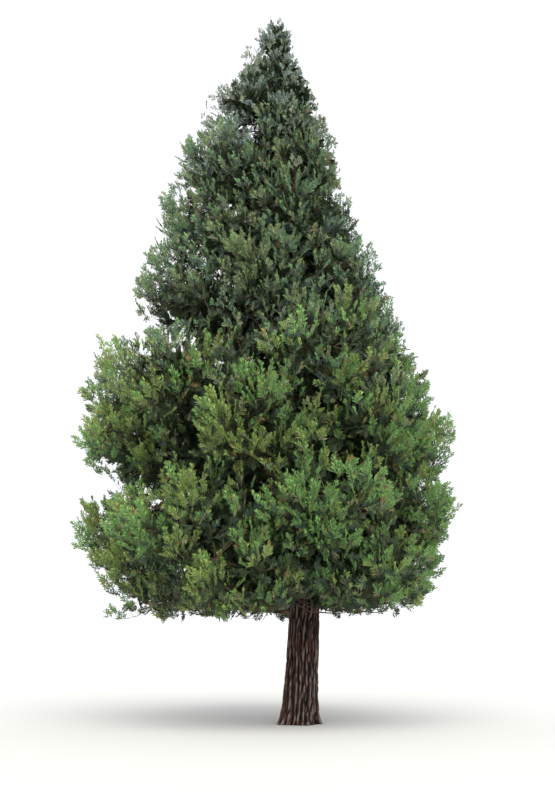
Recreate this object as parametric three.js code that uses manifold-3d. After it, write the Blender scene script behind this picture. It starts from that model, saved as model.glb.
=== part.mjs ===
// Incense cedar, a whole conifer about 13 m tall, rooted in level ground.
//
// The trunk runs unbroken from a flat cut at ground level to the tip of the crown. Main boughs leave
// it low down, and the foliage stands round it in tiers of separate masses. Each mass has one stem,
// a dense core, and twigs that branch from the stem by a seeded rule and end in toothed sprays.
//
// Lengths are in millimetres and Z is up. The origin is the centre of the cut at ground level. The
// side that is seen in the usual view faces -Y, with +X to the right.

import * as THREE from 'three';
import { mergeVertices } from 'three/addons/utils/BufferGeometryUtils.js';
import Module from 'manifold-3d';

const wasm = await Module();
wasm.setup();

// Trunk
const TREE_HEIGHT = 13060;
const TRUNK_RADIUS = 290;
const TRUNK_TAPER = 0.9;
const TRUNK_TIP_RADIUS = 7;
const FLARE_EXTRA = 78;
const FLARE_HEIGHT = 200;
const FLARE_LOBES = 5;
const FLARE_LOBE_SHARE = 0.11;
const FLARE_LOBE_HEIGHT = 420;
const TRUNK_SIDES = 15;
const TRUNK_STEPS = 16;
const TRUNK_STEP_GROWTH = 1.6;

// Sweep of the trunk's centre line: a cubic in the share of the height for X, a wave for Y
const SWEEP = [1162, -2388, 834];
const SWEEP_DEPTH = 80;

// Reach of the crown from the trunk's centre line: height, reach to the left, reach to the right.
// The reach to the front and to the back is the mean of the two.
const CROWN_REACH = [
  [1700, 3700, 2300],
  [3300, 4250, 2700],
  [4700, 4200, 2800],
  [5700, 4660, 2400],
  [6900, 3350, 1800],
  [8100, 2860, 1280],
  [9400, 2460, 940],
  [10500, 1820, 680],
  [11400, 1320, 440],
  [12100, 600, 300],
  [12700, 330, 260],
];

// Tiers of foliage: height of the masses' middles, their number, the turn of the first from +X in
// degrees, half their height, how far their long axis is tipped up in degrees, and how far a mass
// hangs lower for each unit that it reaches out beyond the mean
const TIERS = [
  { height: 2440, count: 6, turn: 180, half: 860, tip: -4, droop: 0.2 },
  { height: 3340, count: 7, turn: 172, half: 920, tip: -2, droop: 0.2 },
  { height: 4640, count: 7, turn: 143, half: 980, tip: 2, droop: 0.2 },
  { height: 5760, count: 6, turn: 160, half: 1040, tip: 4, droop: 0.3 },
  { height: 7400, count: 6, turn: 188, half: 1080, tip: 12, droop: 0 },
  { height: 8600, count: 5, turn: 198, half: 980, tip: 18, droop: 0 },
  { height: 9640, count: 4, turn: 204, half: 880, tip: 24, droop: 0 },
  { height: 10520, count: 3, turn: 160, half: 800, tip: 30, droop: 0 },
  { height: 11300, count: 3, turn: 200, half: 640, tip: 32, droop: 0 },
  { height: 12060, count: 2, turn: 165, half: 620, tip: 46, droop: 0 },
];
const LEADER = { height: 12640, width: 330, half: 460 };

// Foliage masses: half their length as a share of the reach, and their width from the room in a tier
const LENGTH_SHARE = 0.5;
const LENGTH_MOST = 1300;
const WIDTH_SHARE = 1.6;
const WIDTH_MOST = 1.35;
const REACH_VARIATION = 0.06;
const HEIGHT_VARIATION = 120;
const SPACE_GAP = 26;
const TRUNK_CLEARANCE = 45;
const LOWEST_TIP = 1650;

// Core of a mass, as shares of its half sizes, at the foot and at the top of the crown
const CORE_SHARE_LOW = 0.63;
const CORE_SHARE_TOP = 0.73;
const CORE_BUMP = 0.16;
const CORE_MARGIN = 1.04;
const CORE_LEAST = 0.1;

// Twigs of a mass, and the spray at the end of each
const TWIGS_LEAST = 7;
const TWIGS_MOST = 9;
const TWIGS_PER_METRE = 8;
const TWIG_SPREAD = 1.4;
const TWIG_TURN_VARIATION = 0.5;
const TWIG_REACH = 0.95;
const TWIG_REACH_VARIATION = 0.04;
const TWIG_SHORTEST = 0.6;
const TWIG_ROOT_SHARE = 0.3;
const TWIG_RADIUS_SHARE = 0.05;
const TWIG_LIFT = 0.45;
const SPRAY_LENGTH_SHARE = 0.95;
const SPRAY_WIDTH_SHARE = 0.72;
const SPRAY_THICKNESS_SHARE = 0.3;
const SPRAY_SEAT = 0.35;
const SPRAY_EASE = 1.2;
const SHORTENING = 0.06;

// Half outline of a spray, from its tip back to its root: share of the width, share of the length
const SPRAY_OUTLINE = [
  [0, 1],
  [0.2, 0.66],
  [0.5, 0.74],
  [0, 0],
  [-0.5, 0.74],
  [-0.2, 0.66],
];
const SPRAY_CROWN = 0.5;

// Limbs: the boughs under the lowest masses, and the stems of all the masses
const BOUGH_COUNT = 9;
const LIMB_SIDES = 6;
const LIMB_STEPS = 4;
const STEM_SIDES = 4;
const STEM_STEPS = 3;
const LIMB_RADIUS_SHARE = 0.021;
const LIMB_TO_TRUNK = 0.42;
const LIMB_END_SHARE = 0.42;
const LIMB_RISE_LOW = 0.16;
const LIMB_RISE_HIGH = 0.75;
const LIMB_BOW = 0.1;
const ENTRY_EASE = 0.93;
const ENTRY_FIRST = 0.1;
const ENTRY_LAST = 0.9;
const ENTRY_STEP = 0.01;

const CLEARANCE = 0.3;
const GOLDEN_ANGLE = Math.PI * (3 - Math.sqrt(5));
const UP = new THREE.Vector3(0, 0, 1);

// A repeatable stream of numbers from 0 to 1, one stream to a mass
function stream(seed) {
  let state = seed >>> 0;
  return () => {
    state = (Math.imul(state, 1664525) + 1013904223) >>> 0;
    return state / 4294967296;
  };
}

// Straight-line reading of a table of rows whose first column rises
function readTable(rows, at, column) {
  if (at <= rows[0][0]) {
    return rows[0][column];
  }
  for (let i = 1; i < rows.length; i += 1) {
    if (at <= rows[i][0]) {
      const share = (at - rows[i - 1][0]) / (rows[i][0] - rows[i - 1][0]);
      return rows[i - 1][column] + share * (rows[i][column] - rows[i - 1][column]);
    }
  }
  return rows[rows.length - 1][column];
}

function along(start, direction, distance) {
  return start.clone().addScaledVector(direction, distance);
}

function trunkCentre(height) {
  const share = height / TREE_HEIGHT;
  const x = share * (SWEEP[0] + share * (SWEEP[1] + share * SWEEP[2]));
  const y = SWEEP_DEPTH * Math.sin(2 * Math.PI * share);
  return new THREE.Vector3(x, y, height);
}

function trunkRadius(height) {
  const share = Math.min(height / TREE_HEIGHT, 1);
  const flare = FLARE_EXTRA * Math.exp(-height / FLARE_HEIGHT);
  return TRUNK_TIP_RADIUS + (TRUNK_RADIUS - TRUNK_TIP_RADIUS) * (1 - share) ** TRUNK_TAPER + flare;
}

function crownReach(angle, height) {
  const left = readTable(CROWN_REACH, height, 1);
  const right = readTable(CROWN_REACH, height, 2);
  const across = Math.cos(angle) ** 2;
  const side = Math.cos(angle) > 0 ? right : left;
  return side * across + 0.5 * (left + right) * (1 - across);
}

// Geometry with shared vertices, keeping the positions alone
function shell(geometry) {
  geometry.deleteAttribute('normal');
  geometry.deleteAttribute('uv');
  return mergeVertices(geometry, 1e-4);
}

// Moves every vertex of a closed geometry, and keeps its faces pointing out
function reshape(geometry, place) {
  const body = shell(geometry);
  const spots = body.attributes.position;
  const from = new THREE.Vector3();
  for (let i = 0; i < spots.count; i += 1) {
    from.fromBufferAttribute(spots, i);
    const to = place(from.clone(), i);
    spots.setXYZ(i, to.x, to.y, to.z);
  }
  if (signedVolume(body) < 0) {
    const index = body.index.array;
    for (let i = 0; i < index.length; i += 3) {
      const first = index[i];
      index[i] = index[i + 1];
      index[i + 1] = first;
    }
  }
  return body;
}

function signedVolume(body) {
  const spots = body.attributes.position;
  const index = body.index.array;
  const corner = [new THREE.Vector3(), new THREE.Vector3(), new THREE.Vector3()];
  let sum = 0;
  for (let i = 0; i < index.length; i += 3) {
    corner.forEach((point, k) => point.fromBufferAttribute(spots, index[i + k]));
    sum += corner[0].dot(corner[1].cross(corner[2]));
  }
  return sum / 6;
}

function toSolid(body) {
  const vertProperties = new Float32Array(body.attributes.position.array);
  const triVerts = new Uint32Array(body.index.array);
  return new wasm.Manifold(new wasm.Mesh({ numProp: 3, vertProperties, triVerts }));
}

function toGeometry(solid) {
  const mesh = solid.getMesh();
  const geometry = new THREE.BufferGeometry();
  geometry.setAttribute('position', new THREE.BufferAttribute(new Float32Array(mesh.vertProperties), 3));
  geometry.setIndex(new THREE.BufferAttribute(new Uint32Array(mesh.triVerts), 1));
  geometry.computeVertexNormals();
  return geometry;
}

// The largest body of a solid: loose scraps and sealed hollows fall away
function largestBody(solid) {
  return solid.decompose().reduce((best, next) => (next.volume() > best.volume() ? next : best));
}

function joinAll(bodies) {
  return bodies.map(toSolid).reduce((whole, next) => whole.add(next));
}

// A tapering limb: a many-sided cylinder whose rings are carried along a path
function limb(path, radius, sides, steps, from = 0, to = 1) {
  const rod = new THREE.CylinderGeometry(1, 1, 1, sides, steps);
  return reshape(rod, (spot) => {
    const share = from + (to - from) * (spot.y + 0.5);
    const ahead = path.getTangent(share);
    const across = new THREE.Vector3().crossVectors(UP, ahead);
    if (across.lengthSq() < 1e-6) {
      across.set(1, 0, 0);
    }
    across.normalize();
    const over = new THREE.Vector3().crossVectors(ahead, across);
    const size = radius(share);
    return path
      .getPoint(share)
      .addScaledVector(across, spot.x * size)
      .addScaledVector(over, spot.z * size);
  });
}

// The trunk: rings closer together near the ground, with a lobed flare above the flat cut
function trunkBody(extra) {
  const rod = new THREE.CylinderGeometry(1, 1, 1, TRUNK_SIDES, TRUNK_STEPS);
  return reshape(rod, (spot) => {
    const height = TREE_HEIGHT * (spot.y + 0.5) ** TRUNK_STEP_GROWTH;
    const turn = Math.atan2(spot.z, spot.x);
    const lobes = 1 + FLARE_LOBE_SHARE * Math.cos(FLARE_LOBES * turn) * Math.exp(-height / FLARE_LOBE_HEIGHT);
    const out = Math.hypot(spot.x, spot.z) * (trunkRadius(height) * lobes + extra);
    const rise = extra * Math.sign(spot.y) * (Math.abs(spot.y) > 0.499 ? 1 : 0);
    const centre = trunkCentre(height);
    return new THREE.Vector3(
      centre.x + out * Math.cos(turn),
      centre.y + out * Math.sin(turn),
      height + rise,
    );
  });
}

// One foliage mass's place: an ellipsoid whose long axis points outwards and is tipped up
function massAt(tier, number, index) {
  const angle = THREE.MathUtils.degToRad(tier.turn) + (2 * Math.PI * index) / tier.count;
  const random = stream(1000 * number + index);
  const reach = crownReach(angle, tier.height) * (1 + REACH_VARIATION * (random() - 0.5));
  const mean = crownReach(Math.PI / 2, tier.height);
  const height = tier.height + HEIGHT_VARIATION * (random() - 0.5) - tier.droop * (reach - mean);
  const tip = THREE.MathUtils.degToRad(tier.tip);
  const length = Math.min(LENGTH_MOST, LENGTH_SHARE * reach);
  const ring = reach - length * Math.cos(tip);
  const width = WIDTH_SHARE * ring * Math.sin(Math.PI / tier.count);
  const outward = new THREE.Vector3(Math.cos(angle), Math.sin(angle), 0);
  const long = outward.clone().multiplyScalar(Math.cos(tip)).addScaledVector(UP, Math.sin(tip));
  const across = new THREE.Vector3().crossVectors(UP, outward);
  return {
    name: `foliage_${number + 1}_${index + 1}`,
    random,
    outward,
    centre: trunkCentre(height).addScaledVector(outward, ring),
    axes: [long, across, new THREE.Vector3().crossVectors(long, across)],
    sizes: [length, Math.min(width, WIDTH_MOST * length), tier.half],
    ring,
    tierShare: number / TIERS.length,
    planes: [],
  };
}

// How far an ellipsoid stands out from its middle in a direction
function support(mass, direction) {
  const parts = mass.axes.map((axis, k) => mass.sizes[k] * axis.dot(direction));
  return Math.hypot(...parts);
}

// Flat bounds between two masses whose ellipsoids would meet, so that each keeps to its own space
function partMasses(one, other) {
  const away = other.centre.clone().sub(one.centre);
  const distance = away.length();
  away.normalize();
  const near = support(one, away);
  const far = support(other, away);
  if (distance > SPRAY_EASE * (near + far) + 2 * SPACE_GAP) {
    return;
  }
  const split = (distance * near) / (near + far);
  one.planes.push({ normal: away.clone(), limit: one.centre.dot(away) + split - SPACE_GAP });
  const back = away.clone().negate();
  other.planes.push({ normal: back, limit: other.centre.dot(back) + distance - split - SPACE_GAP });
}

// Whether a point lies in a mass's space
function inside(mass, point, ease = 1) {
  const from = point.clone().sub(mass.centre);
  const parts = mass.axes.map((axis, k) => from.dot(axis) / mass.sizes[k]);
  if (Math.hypot(...parts) > ease || point.z < LOWEST_TIP) {
    return false;
  }
  if (mass.outward) {
    const trunk = trunkCentre(point.z);
    const clear = point.clone().sub(trunk).dot(mass.outward);
    if (clear < trunkRadius(point.z) + TRUNK_CLEARANCE) {
      return false;
    }
  }
  return mass.planes.every((plane) => point.dot(plane.normal) < plane.limit);
}

// The dense heart of a mass: a faceted ball drawn out to the ellipsoid, bumpy, and pulled in
// wherever it would leave its space
function coreBody(mass) {
  return reshape(new THREE.OctahedronGeometry(1, 1), (spot) => {
    const bump = 1 + CORE_BUMP * (2 * mass.random() - 1);
    const out = new THREE.Vector3();
    [spot.x, spot.y, spot.z].forEach((part, k) => out.addScaledVector(mass.axes[k], part * mass.sizes[k]));
    let share = THREE.MathUtils.lerp(CORE_SHARE_LOW, CORE_SHARE_TOP, mass.tierShare) * bump;
    while (share > CORE_LEAST && !inside(mass, along(mass.centre, out, share * CORE_MARGIN))) {
      share -= SHORTENING;
    }
    return along(mass.centre, out, share);
  });
}

// The points of a spray: a toothed blade, thickest at its crown point on each face
function sprayPoints(root, ahead, side, length) {
  const face = new THREE.Vector3().crossVectors(ahead, side);
  const spot = (across, along, thick) =>
    root
      .clone()
      .addScaledVector(side, across * length * SPRAY_WIDTH_SHARE)
      .addScaledVector(ahead, along * length)
      .addScaledVector(face, thick * length * SPRAY_THICKNESS_SHARE);
  return { rim: SPRAY_OUTLINE.map(([across, along]) => spot(across, along, 0)), spot };
}

function sprayBody(points) {
  return reshape(new THREE.SphereGeometry(1, SPRAY_OUTLINE.length, 2), (from) => {
    if (Math.abs(from.y) > 0.5) {
      return points.spot(0, SPRAY_CROWN, 0.5 * Math.sign(from.y));
    }
    const turn = Math.atan2(from.z, -from.x) / (2 * Math.PI);
    const step = Math.round((turn + 1) * SPRAY_OUTLINE.length) % SPRAY_OUTLINE.length;
    return points.rim[step];
  });
}

// One three-sided twig, tapering to a point where its spray sits
function twigBody(root, seat, thick) {
  const line = seat.clone().sub(root);
  const ahead = line.clone().normalize();
  const across = new THREE.Vector3().crossVectors(ahead, UP).normalize();
  const over = new THREE.Vector3().crossVectors(ahead, across);
  return reshape(new THREE.ConeGeometry(thick, 1, 3), (spot) =>
    along(root, line, spot.y + 0.5).addScaledVector(across, spot.x).addScaledVector(over, spot.z),
  );
}

// One twig of a mass with its spray. It is shortened where it would leave the mass's space, and
// skipped where it would have to be too short.
function twigBodies(mass, number, count) {
  const level = 1 - (TWIG_SPREAD * number) / count;
  const ring = Math.sqrt(Math.max(0, 1 - level * level));
  const turn = GOLDEN_ANGLE * number + TWIG_TURN_VARIATION * mass.random();
  const twist = mass.random() * Math.PI;
  const stretch = TWIG_REACH + TWIG_REACH_VARIATION * mass.random();
  const local = [level, ring * Math.cos(turn), ring * Math.sin(turn)];
  const out = new THREE.Vector3();
  local.forEach((part, k) => out.addScaledVector(mass.axes[k], part * mass.sizes[k] * stretch));
  const root = along(mass.centre, mass.axes[0], -TWIG_ROOT_SHARE * mass.sizes[0]);
  const mean = (mass.sizes[0] + mass.sizes[1] + mass.sizes[2]) / 3;
  const length = SPRAY_LENGTH_SHARE * mean;
  for (let share = 1; share >= TWIG_SHORTEST; share -= SHORTENING) {
    const tip = along(mass.centre, out, share);
    const ahead = tip.clone().sub(root).normalize().addScaledVector(UP, TWIG_LIFT).normalize();
    const side = new THREE.Vector3().crossVectors(ahead, UP).normalize().applyAxisAngle(ahead, twist);
    const foot = along(tip, ahead, -length);
    const points = sprayPoints(foot, ahead, side, length);
    if (points.rim.every((point) => inside(mass, point, SPRAY_EASE))) {
      const seat = along(foot, ahead, SPRAY_SEAT * length);
      return [twigBody(root, seat, TWIG_RADIUS_SHARE * mean), sprayBody(points)];
    }
  }
  return [];
}

// The path of a mass's limb: out of the trunk, rising and bowed, to the middle of the mass
function limbPath(mass) {
  const rise = mass.ring * THREE.MathUtils.lerp(LIMB_RISE_LOW, LIMB_RISE_HIGH, mass.tierShare);
  const start = trunkCentre(mass.centre.z - rise);
  const middle = start.clone().lerp(mass.centre, 0.5);
  middle.z -= LIMB_BOW * mass.ring;
  return new THREE.QuadraticBezierCurve3(start, middle, mass.centre);
}

function limbRadius(path) {
  const start = Math.min(LIMB_RADIUS_SHARE * path.getLength(), LIMB_TO_TRUNK * trunkRadius(path.v0.z));
  return (share) => start * (1 - (1 - LIMB_END_SHARE) * share);
}

// Share of the path at which the limb enters its mass
function entryShare(mass, path) {
  let share = ENTRY_FIRST;
  while (share < ENTRY_LAST && !inside(mass, path.getPoint(share), ENTRY_EASE)) {
    share += ENTRY_STEP;
  }
  return share;
}

// The solid that parts every limb and core from the trunk by the clearance
const trunkCutter = toSolid(trunkBody(CLEARANCE));

const barkMaterial = new THREE.MeshStandardMaterial({ color: 0x6f5040, roughness: 0.95, metalness: 0 });
const boughMaterial = new THREE.MeshStandardMaterial({ color: 0x7d7468, roughness: 0.9, metalness: 0 });

// Foliage is a brighter yellow green low down and a duller, bluer green near the top
function foliageMaterial(share) {
  const low = new THREE.Color(0x5f7d34);
  const high = new THREE.Color(0x3d5a3a);
  return new THREE.MeshStandardMaterial({
    color: low.lerp(high, share),
    roughness: 0.75,
    metalness: 0,
    flatShading: true,
  });
}

function namedMesh(name, solid, material) {
  const mesh = new THREE.Mesh(toGeometry(solid), material);
  mesh.name = name;
  return mesh;
}

// The leader: an upright mass round the trunk's tip
function leaderMass() {
  return {
    name: 'foliage_leader',
    random: stream(1000 * TIERS.length),
    outward: null,
    centre: trunkCentre(LEADER.height),
    axes: [UP.clone(), new THREE.Vector3(1, 0, 0), new THREE.Vector3(0, 1, 0)],
    sizes: [LEADER.half, LEADER.width, LEADER.width],
    ring: 0,
    tierShare: 1,
    planes: [],
  };
}

// One bough, from the trunk to where it enters its mass
function boughSolid(path, entry) {
  const rod = limb(path, limbRadius(path), LIMB_SIDES, LIMB_STEPS, 0, entry);
  return largestBody(toSolid(rod).subtract(trunkCutter));
}

// One mass: its core, its twigs with their sprays, and its stem, which starts at the trunk or clear
// of its bough's end
function massSolid(mass, stemFrom) {
  const asked = (TWIGS_PER_METRE * (mass.sizes[0] + mass.sizes[1])) / 2000;
  const count = Math.round(THREE.MathUtils.clamp(asked, TWIGS_LEAST, TWIGS_MOST));
  const bodies = [coreBody(mass)];
  for (let number = 0; number < count; number += 1) {
    bodies.push(...twigBodies(mass, number, count));
  }
  if (mass.outward) {
    const path = limbPath(mass);
    bodies.push(limb(path, limbRadius(path), STEM_SIDES, STEM_STEPS, stemFrom, 1));
  }
  return largestBody(joinAll(bodies).subtract(trunkCutter));
}

const masses = TIERS.flatMap((tier, number) =>
  Array.from({ length: tier.count }, (unused, index) => massAt(tier, number, index)),
);
masses.push(leaderMass());
masses.forEach((mass, k) => masses.slice(k + 1).forEach((other) => partMasses(mass, other)));

const tree = new THREE.Group();
tree.add(namedMesh('trunk', toSolid(trunkBody(0)), barkMaterial));

masses.forEach((mass, k) => {
  let stemFrom = 0;
  if (k < BOUGH_COUNT) {
    const path = limbPath(mass);
    const entry = entryShare(mass, path);
    stemFrom = entry + CLEARANCE / path.getLength();
    tree.add(namedMesh(`bough_${k + 1}`, boughSolid(path, entry), boughMaterial));
  }
  tree.add(namedMesh(mass.name, massSolid(mass, stemFrom), foliageMaterial(mass.tierShare)));
});

export default tree;
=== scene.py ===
import bpy
import numpy as np
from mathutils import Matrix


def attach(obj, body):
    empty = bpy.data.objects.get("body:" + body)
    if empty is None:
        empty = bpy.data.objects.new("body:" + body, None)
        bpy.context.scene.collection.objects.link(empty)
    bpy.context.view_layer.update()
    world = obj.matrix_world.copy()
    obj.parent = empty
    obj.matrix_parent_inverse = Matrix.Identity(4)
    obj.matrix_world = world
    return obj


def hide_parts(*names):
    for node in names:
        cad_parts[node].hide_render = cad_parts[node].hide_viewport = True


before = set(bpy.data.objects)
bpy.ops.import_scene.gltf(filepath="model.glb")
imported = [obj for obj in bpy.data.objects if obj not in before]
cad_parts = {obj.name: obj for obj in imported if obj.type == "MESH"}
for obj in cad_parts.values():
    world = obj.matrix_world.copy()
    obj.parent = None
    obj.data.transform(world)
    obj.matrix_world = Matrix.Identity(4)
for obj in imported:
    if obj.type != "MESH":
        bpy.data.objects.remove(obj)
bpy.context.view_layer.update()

# Trunk: one unbroken stem of soft wood, slightly swept, from a lobed flare at the ground to a tip as
# thin as a finger. Its bark is thick and stringy: long ridges that wander, part and meet again, red brown
# on their flanks and weathered grey on top, and shallower towards the tip. The near-black in the
# furrows is painted shade.
TREE_HEIGHT = 13.06
TRUNK_RADIUS = 0.29
TRUNK_TAPER = 0.9
TRUNK_TIP_RADIUS = 0.007
FLARE_EXTRA = 0.078
FLARE_HEIGHT = 0.2
FLARE_LOBES = 5
FLARE_LOBE_SHARE = 0.11
FLARE_LOBE_HEIGHT = 0.42
SWEEP = (1.162, -2.388, 0.834)
SWEEP_DEPTH = 0.08
BARE_HEIGHT = 2.6
BARE_RINGS = 130
HIDDEN_RINGS = 36
TRUNK_COLUMNS = 180
UP = np.array([0.0, 0.0, 1.0])
FULL_TURN = 2 * np.pi


def trunk_centre(height):
    """Centre line of the trunk: X is a cubic in the share of the height, Y one whole wave."""
    share = np.asarray(height, float) / TREE_HEIGHT
    x = share * (SWEEP[0] + share * (SWEEP[1] + share * SWEEP[2]))
    y = SWEEP_DEPTH * np.sin(FULL_TURN * share)
    return np.stack([x, y, share * TREE_HEIGHT], axis=-1)


def between(first, last, share):
    """The value that lies at a share of the way from the first to the last."""
    return first + (last - first) * share


def trunk_radius(height):
    """Radius: the share of height left, to a power just under one, plus a flare that dies off upwards."""
    share = np.clip(np.asarray(height, float) / TREE_HEIGHT, 0, 1)
    flare = FLARE_EXTRA * np.exp(-np.asarray(height, float) / FLARE_HEIGHT)
    return between(TRUNK_TIP_RADIUS, TRUNK_RADIUS, (1 - share) ** TRUNK_TAPER) + flare


def lattice_noise(across, along, columns, seed):
    """Smooth noise from 0 to 1: seeded numbers on a square lattice, blended by 3t^2 - 2t^3 between its
    points. It closes on itself after the given number of columns."""
    spare_rows = 3
    rows = int(np.max(along)) + spare_rows
    numbers = np.random.default_rng(seed).random((rows, columns))
    left = np.floor(across).astype(int)
    low = np.floor(along).astype(int)
    x = across - left
    y = along - low
    x = x * x * (3 - 2 * x)
    y = y * y * (3 - 2 * y)
    right = (left + 1) % columns
    left = left % columns
    lower = numbers[low, left] * (1 - x) + numbers[low, right] * x
    upper = numbers[low + 1, left] * (1 - x) + numbers[low + 1, right] * x
    return lower * (1 - y) + upper * y


RIDGES_PER_CELL = 3
RIDGE_WANDER = 9.5
RIDGE_WAVER = 3.4
WAVER_QUICKNESS = 4
WAVER_SEED = 5
FURROW_POWER = 0.42
FRAY = 0.7
FRAY_CELLS = 4
FRAY_QUICKNESS = 5
FRAY_SEED = 2


def bark_relief(turn, length, ridges, rows_per_metre, seed):
    """Height of the bark, from 0 in a furrow to 1 on a ridge: the product of two sets of waves round the
    stem, one with fewer ridges and one with more. Each set wanders lengthwise by a slow noise and wavers
    by a quicker one, so that furrows meet and part. A third noise, drawn out lengthwise, frays it all."""
    height = 1.0
    cells = ridges // RIDGES_PER_CELL
    slow_along = rows_per_metre * length
    quick_along = WAVER_QUICKNESS * rows_per_metre * length
    for number, count in enumerate((ridges, ridges + cells)):
        slow = lattice_noise(turn * cells / FULL_TURN, slow_along, cells, seed + number)
        quick = lattice_noise(turn * count / FULL_TURN, quick_along, count, seed + WAVER_SEED + number)
        wave = 0.5 + 0.5 * np.cos(count * turn + RIDGE_WANDER * slow + RIDGE_WAVER * quick)
        height = height * wave**FURROW_POWER
    fray_cells = FRAY_CELLS * ridges
    fray_along = FRAY_QUICKNESS * rows_per_metre * length
    fray = lattice_noise(fray_cells * turn / FULL_TURN, fray_along, fray_cells, seed + FRAY_SEED)
    return np.clip(height + FRAY * (fray - 0.5), 0, 1)


def ring_faces(rings, sides):
    """Corner numbers of a closed stack of rings: two faces to a cell, and a fan at each end whose middle
    points follow the rings' points."""
    ring, side = np.meshgrid(np.arange(rings - 1), np.arange(sides), indexing="ij")
    here = ring * sides + side
    beside = ring * sides + (side + 1) % sides
    walls = np.stack([here, beside, beside + sides, here, beside + sides, here + sides], axis=-1)
    side = np.arange(sides)
    beside = (side + 1) % sides
    foot = np.stack([beside, side, np.full(sides, rings * sides)], axis=-1)
    last = (rings - 1) * sides
    head = np.stack([last + side, last + beside, np.full(sides, rings * sides + 1)], axis=-1)
    return np.concatenate([walls.reshape(-1, 3), foot, head])


def make_piece(name, points, faces, smooth):
    """A mesh at the origin from an array of points and an array of three-cornered faces."""
    mesh = bpy.data.meshes.new(name)
    mesh.vertices.add(len(points))
    mesh.vertices.foreach_set("co", np.ascontiguousarray(points, np.float32).ravel())
    mesh.loops.add(faces.size)
    mesh.loops.foreach_set("vertex_index", np.ascontiguousarray(faces, np.int32).ravel())
    mesh.polygons.add(len(faces))
    mesh.polygons.foreach_set("loop_start", np.arange(0, faces.size, 3, dtype=np.int32))
    mesh.polygons.foreach_set("use_smooth", np.full(len(faces), smooth))
    mesh.update(calc_edges=True)
    piece = bpy.data.objects.new(name, mesh)
    bpy.context.scene.collection.objects.link(piece)
    return piece


def linear(red, green, blue):
    """A paint-chart colour, 0 to 255, as the renderer's linear colour, by the standard screen curve."""
    share = np.array([red, green, blue]) / 255
    value = np.where(share <= 0.04045, share / 12.92, ((share + 0.055) / 1.055) ** 2.4)
    return (*(float(part) for part in value), 1.0)


class Wire:
    """One output of a material's node. Arithmetic on wires and numbers adds Math nodes."""

    def __init__(self, tree, socket=None):
        self.tree = tree
        self.socket = socket

    def node(self, kind, settings=None, inputs=None, output=0):
        """Adds a node of any kind: first its settings, then the values or wires of its sockets."""
        node = self.tree.nodes.new(kind)
        for name, value in (settings or {}).items():
            setattr(node, name, value)
        for name, value in (inputs or {}).items():
            if isinstance(value, Wire):
                self.tree.links.new(value.socket, node.inputs[name])
            else:
                node.inputs[name].default_value = value
        return Wire(self.tree, node.outputs[output])

    def feed(self, target):
        """Links this output to a socket of the shader."""
        self.tree.links.new(self.socket, target)

    def math(self, operation, first, second):
        """One operation on two wires or numbers."""
        return self.node("ShaderNodeMath", {"operation": operation}, {0: first, 1: second})

    def blend(self, first, second):
        """The first colour where this is 0 and the second where it is 1."""
        settings = {"data_type": "RGBA", "clamp_factor": True}
        return self.node("ShaderNodeMix", settings, {0: self, 6: first, 7: second}, 2)

    def step(self, low, high):
        """0 below low, 1 above high, and a smooth rise between them."""
        settings = {"interpolation_type": "SMOOTHSTEP"}
        return self.node("ShaderNodeMapRange", settings, {0: self, 1: low, 2: high})

    def __add__(self, other):
        return self.math("ADD", self, other)

    def __sub__(self, other):
        return self.math("SUBTRACT", self, other)

    def __rsub__(self, other):
        return self.math("SUBTRACT", other, self)

    def __mul__(self, other):
        return self.math("MULTIPLY", self, other)

    __radd__ = __add__
    __rmul__ = __mul__


def new_material(name, colour, roughness, specular):
    """A plain opaque finish."""
    material = bpy.data.materials.new(name)
    material.use_nodes = True
    shader = material.node_tree.nodes["Principled BSDF"]
    shader.inputs["Base Color"].default_value = colour
    shader.inputs["Roughness"].default_value = roughness
    shader.inputs["Specular IOR Level"].default_value = specular
    return material


FIBRE_STRETCH = (1, 1, 0.07)
PATCH_STRETCH = (1, 1, 0.35)
FLAKES_PER_PATCH = 8
FIBRE_WEIGHT = 0.8
PATCH_WEIGHT = 1.2
FLAKE_WEIGHT = 1.3
FLANK_RELIEF = (0.1, 0.6)
CREST_RELIEF = (0.5, 1.0)
FIBRE_BUMP = 0.7


def bark_finish(name, furrow_shade, flank, crest, patches_per_metre, fibres_per_metre, bump_depth):
    """Bark, by its stored relief: a dark colour in the furrows, which is painted shade, one on their
    flanks, and on the ridges flaking patches of a third. Fine fibres run lengthwise in the colour and
    stand up in the bump."""
    material = new_material(name, crest, roughness=0.92, specular=0.15)
    shader = material.node_tree.nodes["Principled BSDF"]
    start = Wire(material.node_tree)
    place = start.node("ShaderNodeTexCoord", output="Object")
    relief = start.node("ShaderNodeAttribute", {"attribute_name": "relief"}, output="Fac")

    def speckle(stretch, size, detail):
        """Noise of so many grains to a metre, drawn out lengthwise."""
        spread = start.node("ShaderNodeMapping", None, {"Vector": place, "Scale": stretch})
        return start.node("ShaderNodeTexNoise", None, {"Vector": spread, "Scale": size, "Detail": detail})

    fibres = speckle(FIBRE_STRETCH, fibres_per_metre, detail=5.0)
    patches = speckle(PATCH_STRETCH, patches_per_metre, detail=4.0)
    flakes = speckle(PATCH_STRETCH, FLAKES_PER_PATCH * patches_per_metre, detail=3.0)
    frayed = relief + FIBRE_WEIGHT * (fibres - 0.5)
    # Painted shade: the furrow colour where the relief is low.
    below = frayed.step(*FLANK_RELIEF).blend(furrow_shade, flank)
    above = frayed + PATCH_WEIGHT * (patches - 0.5) + FLAKE_WEIGHT * (flakes - 0.5)
    above.step(*CREST_RELIEF).blend(below, crest).feed(shader.inputs["Base Color"])
    bump_inputs = {"Height": fibres, "Strength": FIBRE_BUMP, "Distance": bump_depth}
    start.node("ShaderNodeBump", None, bump_inputs, "Normal").feed(shader.inputs["Normal"])
    return material


def keep_relief(piece, values):
    """Stores the bark's height at each point of a piece, for its finish to read."""
    stored = piece.data.attributes.new("relief", "FLOAT", "POINT")
    stored.data.foreach_set("value", values.ravel().astype(np.float32))


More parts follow.
